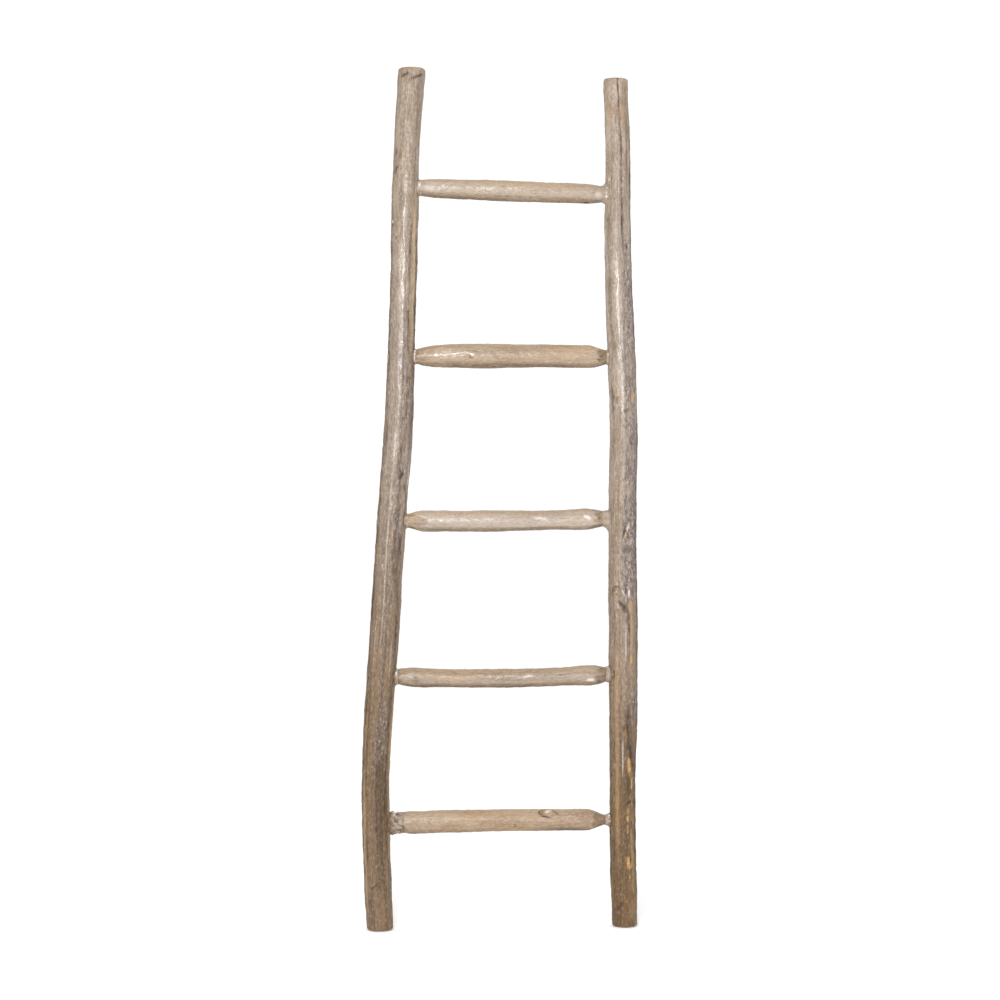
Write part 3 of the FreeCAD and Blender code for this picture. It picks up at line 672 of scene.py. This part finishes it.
# As on the rails, with places along the rung from its middle, to the right.
RUNG_GROOVES = {
    1: [([(-60, -42), (40, -38), (120, -45)], 2.4, 0.5, 0.15),
        ([(-120, 64), (-10, 60), (150, 66)], 3.0, 0.5, 0.10),
        ([(-100, 150), (60, 158), (160, 150)], 3.0, 0.8, 0.20)],
    2: [([(-100, -58), (0, -52), (130, -60)], 3.0, 0.6, 0.20),
        ([(-60, 130), (40, 138), (150, 132)], 3.0, 0.8, 0.20)],
    3: [([(-130, -52), (-20, -48), (120, -55)], 2.6, 0.5, 0.15),
        ([(-60, 165), (40, 170), (140, 162)], 2.6, 0.8, 0.20)],
    4: [([(-140, -46), (-10, -40), (120, -48)], 2.4, 0.5, 0.20),
        ([(-120, 40), (0, 44), (60, 40)], 2.4, 0.4, 0.05),
        ([(-90, -150), (20, -144), (120, -152)], 2.6, 0.8, 0.20)],
    5: [([(-120, -44), (0, -48), (150, -42)], 3.0, 0.6, 0.25),
        ([(-150, 150), (10, 142), (120, 150)], 3.0, 0.8, 0.20)],
}

# The pale specks a little above each rung's front are painted highlights, and the broad pale patches
# near the ends are smears of glue. The long dark bands under the front, at turns of about -60 to -66
# degrees, are painted shade.
RUNG_MARKS = {
    1: {
        "pale": [(-124, -4, 9, 9, 0, 0.35, 0.3), (-100, 12, 3, 1.6, 20, 0.6, 0.2),
            (15, 8, 5, 1.6, -10, 0.6, 0.2), (-12, 10, 7, 1.2, 6, 0.5, 0.1),
            (172, -10, 7, 8, 20, 0.4, 0.3)],
        "polish": [(10, 8, 90, 6, 0, 0.8, 0)],
        "warm": [(60, 40, 90, 12, 0, 0.5, 0)],
        "dirt_and_shade": [(150, -72, 5, 2.6, 10, 1, -1), (165, 18, 5, 4, 60, 0.3, -0.3),
            (-60, -66, 70, 5, 0, 0.35, 0)],
    },
    2: {
        "pale": [(-113, 5, 3, 2.2, 0, 1, 0.3), (-96, 4, 5, 1.4, 40, 0.5, 0.2),
            (-76, 10, 13, 1.6, 6, 0.6, 0.4), (-56, 10, 8, 1.5, -20, 0.6, 0.4),
            (-50, 2, 3, 2, 0, 0.7, 0.5)],
        "dirt_and_shade": [(-51, -6, 3, 2.4, 20, 0.6, -0.9), (177, 2, 4, 2.4, 0, 0.9, -0.5),
            (171, 26, 4, 2, 20, 0.6, -0.3), (172, -22, 4, 2, -20, 0.6, -0.3),
            (20, -64, 110, 5, 0, 0.3, 0)],
        "warm": [(-53, -20, 8, 4, 0, 0.7, 0), (110, 20, 50, 12, 0, 0.5, 0)],
        "polish": [(-70, 8, 40, 5, 0, 0.8, 0), (60, 6, 70, 6, 0, 0.7, 0)],
    },
    3: {
        "pale": [(-141, 4, 2.4, 2, 0, 0.8, 0.4), (-104, 4, 3, 1.6, 0, 0.6, 0.2),
            (70, 12, 14, 3, -8, 0.4, 0.1), (152, 10, 7, 2.6, -25, 0.6, 0.3)],
        "warm": [(-158, 5, 12, 12, 0, 0.7, 0), (128, 6, 12, 5, 0, 0.5, 0),
            (172, 5, 7, 4, 0, 0.8, 0)],
        "polish": [(-60, 8, 80, 6, 0, 0.8, 0)],
        "dirt_and_shade": [(173, 5, 3, 2, 0, 0.8, -0.4), (164, -4, 6, 1.4, -40, 0.5, -0.5),
            (-20, -62, 130, 4.5, 0, 0.35, 0)],
    },
    4: {
        "polish": [(40, 14, 60, 5, 0, 0.8, 0)],
        "pale": [(48, 14, 11, 2.6, 8, 0.6, 0.2), (158, -22, 9, 3.4, 0, 0.7, 0.2)],
        "warm": [(-80, 14, 60, 9, 0, 0.4, 0)],
        "dirt_and_shade": [(172, -48, 4, 2.4, -30, 0.9, -0.5), (-148, -10, 6, 8, 0, 0.3, 0),
            (40, -66, 8, 2.6, 0, 0.7, -0.5), (-40, -60, 120, 4, 0, 0.35, 0)],
    },
    5: {
        "dirt_and_shade": [(78, 22, 13, 1.5, -10, 0.7, -0.6), (96, 50, 6, 2, -40, 0.7, -0.6),
            (120, -62, 26, 4, 0, 0.45, 0), (-124, 10, 4, 2, 60, 0.5, -0.4)],
        "pale": [(84, 56, 6, 2.6, 0, 0.6, 0.5)],
        "raw": [(8, -56, 34, 4, 0, 0.3, 0), (-92, -48, 12, 4, 0, 0.25, 0)],
        "warm": [(8, -52, 60, 8, 0, 0.8, 0), (-92, -40, 30, 8, 0, 0.6, 0),
            (20, 20, 120, 12, 0, 0.4, 0)],
    },
}

# Tone of each rung: browned, greyed, and brushed with more whitewash.
RUNG_TONES = {1: (0.17, 0.9, 0.0), 2: (0.17, 0.2, 0.0), 3: (0.05, 1.0, 0.16), 4: (0.33, 0.8, 0.0),
              5: (0.14, 0.0, 0.0)}

RUNG_KNOTS = {1: [(90, 140, 7, 5, 0, 0.6)], 2: [(-51, -8, 4, 3, 20, 0.4)],
              3: [(-70, -150, 8, 5, 0, 0.8)], 4: [(130, 150, 7, 5, 0, 0.6)],
              5: [(80, 46, 12, 7, -8, 1.3), (21, -22, 5, 3.5, 0, 0.5)]}


# A cut reaches only the wood that faces it by more than this cosine.
EDGE_ON = 0.05


def whittle(radius, turn, place, shoulders, rung):
    """Slice both ends of a rung down with flat knife cuts, leaving a thinner neck.

    Also tells how much wood each cut took away.
    """
    whole = radius
    for side, edge, sign in (("left", shoulders[0], 1), ("right", shoulders[1], -1)):
        into = np.maximum((place - edge) * sign, -2 * MM)
        cuts = RUNG_CUTS[rung, side]
        neck = sum(cut[1] for cut in cuts) / len(cuts)
        slope = sum(cut[2] for cut in cuts) / len(cuts)
        behind = [(turned + 7 * math.sin(rung * turned), neck + 0.3, slope) for turned in BACK_CUTS]
        for facing, deep, climb in cuts + behind:
            square_on = np.cos(around_from(turn, math.radians(facing)))
            reach = (deep * MM + into * climb) / np.maximum(square_on, EDGE_ON)
            radius = np.minimum(radius, np.where(square_on > EDGE_ON, reach, radius))
    return radius, whole - radius


def make_rung(rung):
    """Roll a grid round one rung, whittle its ends and carve it."""
    node = f"rung_{rung}"
    low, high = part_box(node)
    past_rim = 2 * MM
    places = np.linspace(low.x + past_rim, high.x - past_rim, 160)
    middles, radii = trace_branch(node, 0, UP, places, (low + high) / 2)
    # The neck starts where the branch is wider than its tenon.
    tenon = np.median(radii[:6])
    wood = np.nonzero(radii > tenon + 0.4 * MM)[0]
    shoulders = places[wood[0]], places[wood[-1]]
    kept = slice(wood[0], wood[-1] + 1)
    plan = plan_rows(low.x + NECK_STOP, high.x - NECK_STOP, NECK_ROUNDING, NECK_ROUNDING, tenon,
                     RUNG_STEP)
    piece, turn, row = flat_bark(f"rung_{rung}_branch", len(plan), RUNG_AROUND)
    place, share = plan[row].T
    radius = np.interp(place, places[kept], smooth_row(radii[kept]))
    bark = {layer: np.zeros_like(turn) for layer in LAYERS}
    for layer, tone in zip(("foot", "ash_and_sheen", "pale"), RUNG_TONES[rung]):
        bark[layer] += tone
    bark["relief"] = 0.9 * MM * lumps(turn, place, radius, 16 * MM, 50 * MM, 20 + rung)
    bark["relief"] += 0.5 * MM * lumps(turn, place, radius, 4 * MM, 10 * MM, 30 + rung)
    # Greyed in front, a painted highlight band, and polished there; warm on top; browned underneath, a
    # painted shade.
    bark["ash_and_sheen"] *= 0.3 + 0.9 * np.exp(-((turn + 0.1) / 0.8) ** 2)
    bark["warm"] += 0.5 * fade(turn, 0.5, 1.2) * (1 - fade(turn, 1.9, 2.6))
    bark["foot"] += 0.50 * fade(turn, -0.45, -1.15) * (1 - fade(turn, -1.9, -2.6))
    bark["polish"] += 0.3 * np.exp(-((turn - 0.1) / 0.4) ** 2)
    for groove in RUNG_GROOVES[rung]:
        cut_groove(bark, turn, place, radius, *groove)
    for layer, marks in RUNG_MARKS[rung].items():
        for mark in marks:
            leave_mark(bark, turn, place, radius, layer, mark)
    for knot in RUNG_KNOTS[rung]:
        leave_knot(bark, turn, place, radius, knot)
    radius, taken = whittle(radius, turn, place, shoulders, rung)
    # The knife leaves browner, dirtier and smoother wood, with no whitewash.
    planed = fade(taken, 0.2 * MM, 1.0 * MM)
    bark["foot"] += 0.36 * planed
    bark["dirt_and_shade"] += 0.14 * planed
    bark["pale"] *= 1 - 0.8 * planed
    bark["relief"] *= 1 - 0.75 * planed
    middle = np.column_stack([np.interp(place, places[kept], smooth_row(middles[kept, k]))
                              for k in (1, 2)])
    out = share * (radius + bark["relief"])
    points = np.column_stack((place, middle[:, 0] - out * np.cos(turn),
                              middle[:, 1] + out * np.sin(turn)))
    grain = np.column_stack((share * radius * np.sin(turn), -share * radius * np.cos(turn),
                             place + rung))
    lay_points(piece, points, grain, bark)
    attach(piece, "root")
    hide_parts(node)
    return piece


rung_wood = whitewashed_teak("waxed_whitewashed_rung", "#A5937F", "#957D64", "#5F4934",
                             "#A79E95", 0.50, 0.40)
rungs = {}
for number in RUNG_GROOVES:
    rungs[number] = make_rung(number)
    rungs[number].data.materials.append(rung_wood)


# ---------------------------------------------- the filler round the joints
# Sawdust and white glue pressed into each joint by hand.  It dries to a lumpy,
# cream-grey fillet that feathers out over the rail and the rung.

# Spread up and down the rail from the rung's middle, reach along the rung and
# lumpiness in mm, how much bare white glue shows, and towards which turn.
COLLAR_SHAPES = {
    ("left", 1): (15.5, 15.5, 5, 0.5, 0.7, 20), ("left", 2): (14.5, 14.5, 3, 0.3, 0.9, 20),
    ("left", 3): (15.0, 16.0, 4, 0.4, 0.2, 60), ("left", 4): (15.0, 15.0, 4, 0.3, 0.65, 65),
    ("left", 5): (18.0, 19.0, 23, 5.0, 0.5, 60), ("right", 1): (23.0, 20.0, 9, 1.2, 0.45, 15),
    ("right", 2): (15.0, 15.0, 4, 0.5, 0.4, 50), ("right", 3): (17.0, 30.0, 13, 0.4, 0.0, 50),
    ("right", 4): (14.0, 15.0, 6, 0.5, 0.5, 20), ("right", 5): (12.0, 13.0, 9, 0.9, 0.55, 30),
}

# Points round a collar, and steps over it from the rung to the rail.
COLLAR_AROUND = 72
COLLAR_STEPS = 16

# Rays towards a branch's skin start this far off it.
CLEAR = 50 * MM


def surface_point(piece, origin, direction):
    """Find where a line first meets a piece."""
    return piece.ray_cast(origin, direction, distance=4 * CLEAR)[1]


def give_thickness(piece, thickness):
    """Turn a skin into a closed shell that lies under it."""
    solid = piece.modifiers.new("thickness", "SOLIDIFY")
    solid.thickness = thickness
    solid.offset = -1.0
    bpy.ops.object.modifier_apply(modifier=solid.name)


def make_collar(side, rung):
    """Lay a concave fillet from the rung's skin to the rail's skin, then make it lumpy."""
    node = f"{side}_collar_{rung}"
    low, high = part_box(node)
    middle = (low + high) / 2
    spread_up, spread_down, reach, lumpy, white, lit = COLLAR_SHAPES[side, rung]
    inwards = 1 if side == "left" else -1
    rail_edge = surface_point(rails[side], middle + CLEAR * inwards * ACROSS, -inwards * ACROSS).x
    depth = 0.72 * min(spread_up, spread_down)
    seed = rung + 5 * inwards
    piece, turn, row = flat_bark(f"{side}_collar_{rung}_filler", COLLAR_STEPS + 1, COLLAR_AROUND)
    points = np.empty((len(turn), 3))
    ragged = lumps(turn, np.zeros_like(turn), 1.0, 0.8, 1.0, 60 + seed)
    knobs = lumps(turn, row, 14 * MM, 5 * MM, 4.0, 70 + seed, 4)
    for k, (angle, step) in enumerate(zip(turn, row)):
        up, front = math.sin(angle), math.cos(angle)
        out = up * UP + front * FRONT
        edge = float(1 + 0.22 * ragged[k])
        over_rung = Vector((rail_edge + inwards * reach * edge * MM, middle.y, middle.z))
        on_rung = surface_point(rungs[rung], over_rung + CLEAR * out, -out)
        over_rail = Vector((rail_edge + inwards * CLEAR, middle.y, middle.z))
        spread = spread_up if up > 0 else spread_down
        over_rail += (up * spread * UP + front * depth * FRONT) * edge * MM
        on_rail = surface_point(rails[side], over_rail, -inwards * ACROSS)
        corner_x = inwards * min(inwards * on_rail.x, inwards * rail_edge)
        corner = Vector((corner_x, on_rung.y, on_rung.z))
        t = float(step / COLLAR_STEPS)
        spot = (1 - t) ** 2 * on_rung + 2 * t * (1 - t) * corner + t ** 2 * on_rail
        swell = math.sin(math.pi * t)
        lift = (out + inwards * ACROSS).normalized() * MM
        points[k] = spot + lift * float(swell * (0.5 + lumpy * knobs[k]) - 0.5 * (1 - swell))
    grain = np.column_stack((points[:, 1] - middle.y, points[:, 2] - middle.z, points[:, 0]))
    paint = {layer: np.zeros_like(turn) for layer in LAYERS}
    towards = fade(np.cos(turn - math.radians(lit)), 0.2, 0.9)
    # Bare white glue towards one turn, whiter on the knobs' tops, which is a painted highlight on them.
    paint["pale"] = white * towards * np.clip(0.6 + 1.2 * knobs, 0, 1)
    paint["pale"] *= span(row / COLLAR_STEPS, 0.2, 0.7, 0.2)
    feather = fade(row / COLLAR_STEPS, 0.1, 0.9)
    paint["foot"], paint["ash_and_sheen"] = [tone * feather for tone in tone_at(side, middle.z)]
    # Dark paint in the hollows between the knobs is painted shade.
    paint["dirt_and_shade"] = 0.3 * lumpy * np.clip(-2.0 * knobs - 0.10, 0, 0.6)
    lay_points(piece, points, grain, paint)
    give_thickness(piece, 1.0 * MM)
    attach(piece, "root")
    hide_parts(node)
    return piece


def glue_and_sawdust():
    """Dried white glue full of sawdust: chalky, grey-cream, with fine pits and a dull sheen."""
    material, tree, shader = new_material("glue_and_sawdust_filler")
    place = add_node(tree, "TexCoord", give="Object")
    clouds = add_node(tree, "TexNoise", place, 1 / (6 * MM), 4.0, 0.55)
    grit = add_node(tree, "TexNoise", place, 1 / (1.2 * MM), 3.0, 0.7)
    foot = add_node(tree, "Attribute", attribute_name="foot", give="Fac")
    ash_and_sheen = add_node(tree, "Attribute", attribute_name="ash_and_sheen", give="Fac")
    base = lay_coats(tree, srgb("#7E6D5C"), (
        (add_node(tree, "MapRange", clouds, 0.35, 0.65), 1.0, srgb("#9A8B7B")),
        (add_node(tree, "MapRange", grit, 0.55, 0.75), 0.6, srgb("#5C4C3F")),
        (ash_and_sheen, 0.4, srgb("#8B837C")),
        (foot, 0.95, srgb("#5C472E")),
        # The pale and dirt coats lay the white glue and grime, and on the collars' knobs also a painted
        # highlight on their tops and painted shade in their hollows.
        (painted(tree, "pale", clouds, 0.5), 1.0, srgb("#D6CFC7")),
        (painted(tree, "dirt_and_shade", grit, 0.6), 1.0, srgb("#5A4838")),
    ))
    tree.links.new(base, shader.inputs["Base Color"])
    dull = add_node(tree, "MapRange", clouds, 0.3, 0.7, 0.42, 0.62)
    tree.links.new(dull, shader.inputs["Roughness"])
    height = add_node(tree, "Math", grit, 0.5, clouds, operation="MULTIPLY_ADD")
    bump = add_node(tree, "Bump", Strength=0.6, Distance=0.5 * MM, Height=height)
    tree.links.new(bump, shader.inputs["Normal"])
    return material


filler = glue_and_sawdust()
for side, number in COLLAR_SHAPES:
    make_collar(side, number).data.materials.append(filler)


# ------------------------------------------------------ the screws and plugs
# One zinc-plated wood screw holds each joint from the rail's outer side.  Its
# head sits below the bark, and a thumbed dab of the same filler hides it.

def zinc_plated_steel():
    """Bright zinc on steel: pale, slightly blue, with soft brushed streaks."""
    material, tree, shader = new_material("zinc_plated_steel")
    place = add_node(tree, "TexCoord", give="Object")
    streaks = add_node(tree, "TexNoise", place, 1 / (0.6 * MM), 3.0, 0.55)
    base = add_node(tree, "Mix", streaks, srgb("#B9BBBC"), srgb("#D3D2CC"), data_type="RGBA")
    tree.links.new(base, shader.inputs["Base Color"])
    dull = add_node(tree, "MapRange", streaks, 0.3, 0.7, 0.24, 0.38)
    tree.links.new(dull, shader.inputs["Roughness"])
    shader.inputs["Metallic"].default_value = 1.0
    return material


# A dab is an oval that stands a quarter taller than it is wide.
DAB_RADIUS = 7.0 * MM
DAB_TALL = 1.25
DAB_RINGS = 8
DAB_AROUND = 40


def make_dab(side, rung):
    """Press a thin dab of filler over a plugged screw, following the bark."""
    node = f"{side}_plug_{rung}"
    low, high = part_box(node)
    middle = (low + high) / 2
    outwards = -1 if side == "left" else 1
    piece, turn, row = flat_bark(f"{side}_plug_{rung}_dab", DAB_RINGS + 1, DAB_AROUND)
    share = row / DAB_RINGS
    ragged = 1 + 0.18 * lumps(turn, np.zeros_like(turn), 1.0, 0.7, 1.0, 90 + rung + outwards)
    points = np.empty((len(turn), 3))
    for k, (angle, part) in enumerate(zip(turn, share)):
        off = float(DAB_RADIUS * part * ragged[k])
        above = Vector((middle.x + outwards * CLEAR, middle.y + off * math.cos(angle),
                        middle.z + DAB_TALL * off * math.sin(angle)))
        spot = surface_point(rails[side], above, -outwards * ACROSS)
        dome = float(0.55 * (1 - part ** 3) - 0.15 * part) * MM
        points[k] = spot + ACROSS * outwards * dome
    paint = {layer: np.zeros_like(turn) for layer in LAYERS}
    foot, ash_and_sheen = tone_at(side, middle.z)
    paint["foot"] += 0.7 * foot
    paint["ash_and_sheen"] += ash_and_sheen
    lay_points(piece, points, points - np.array(middle), paint)
    give_thickness(piece, 0.8 * MM)
    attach(piece, "root")
    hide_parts(node)
    return piece


steel = zinc_plated_steel()
for side, number in COLLAR_SHAPES:
    screw = frame["nodes"][f"{side}_screw_{number}"]
    screw.data.materials.clear()
    screw.data.materials.append(steel)
    make_dab(side, number).data.materials.append(filler)


# ------------------------------------------------------- the floor and light
# White paper underfoot and a white room all round, with one soft light in front,
# a little to the left and above.  Darker walls at the sides draw the round edges.

def seamless_paper():
    """Matt white backdrop paper."""
    material, tree, shader = new_material("seamless_white_paper")
    place = add_node(tree, "TexCoord", give="Object")
    fibre = add_node(tree, "TexNoise", place, 1 / (4 * MM), 2.0, 0.55)
    base = add_node(tree, "Mix", fibre, srgb("#FAF9F8"), srgb("#FCFBFA"), data_type="RGBA")
    tree.links.new(base, shader.inputs["Base Color"])
    shader.inputs["Roughness"].default_value = 0.9
    return material


FLOOR_SIZE = 160.0
bpy.ops.object.select_all(action="DESELECT")
bpy.ops.mesh.primitive_plane_add(size=FLOOR_SIZE, location=(0.0, 0.0, 0.0))
floor = bpy.context.object
floor.name = "studio_floor"
floor.data.materials.append(seamless_paper())

# The room is white ahead and behind and darker at the sides, but the camera sees it all white.
world = bpy.data.worlds.new("white_studio")
world.use_nodes = True
room = world.node_tree
look = add_node(room, "TexCoord", give="Generated")
sideways = add_node(room, "Math", add_node(room, "SeparateXYZ", look, give="X"), operation="ABSOLUTE")
aside = add_node(room, "Math", add_node(room, "SeparateXYZ", look, give="Z"), -0.7, sideways,
                 operation="MULTIPLY_ADD")
glow = add_node(room, "MapRange", aside, 0.50, 0.95, 1.10, 0.38)
seen = add_node(room, "LightPath", give="Is Camera Ray")
glow = add_node(room, "Math", glow, seen, operation="MAXIMUM")
room.nodes["Background"].inputs["Color"].default_value = srgb("#FFFFFF")
room.links.new(glow, room.nodes["Background"].inputs["Strength"])
bpy.context.scene.world = world
bpy.context.scene.view_settings.view_transform = "Standard"

SOFTBOX_PLACE = Vector((-0.7, -3.4, 1.7))
SOFTBOX_AIM = Vector((0.0, 0.0, 0.8))
bpy.ops.object.light_add(type="AREA", location=SOFTBOX_PLACE)
softbox = bpy.context.object
softbox.name = "key_softbox"
softbox.data.size = 0.6
softbox.data.energy = 88.0
softbox.rotation_euler = (SOFTBOX_AIM - SOFTBOX_PLACE).to_track_quat("-Z", "Y").to_euler()

# The camera stands level, well back, a little to the left.
VIEW_DISTANCE = 4.128
VIEW_HEIGHT = 0.748
VIEW_TURN = math.radians(-5.0)
bpy.ops.object.camera_add(location=(VIEW_DISTANCE * math.sin(VIEW_TURN),
                                    -VIEW_DISTANCE * math.cos(VIEW_TURN), VIEW_HEIGHT),
                          rotation=(math.radians(90.0), 0.0, VIEW_TURN))
camera = bpy.context.object
camera.data.lens = 85.0
camera.data.sensor_width = 36.0
bpy.context.scene.camera = camera
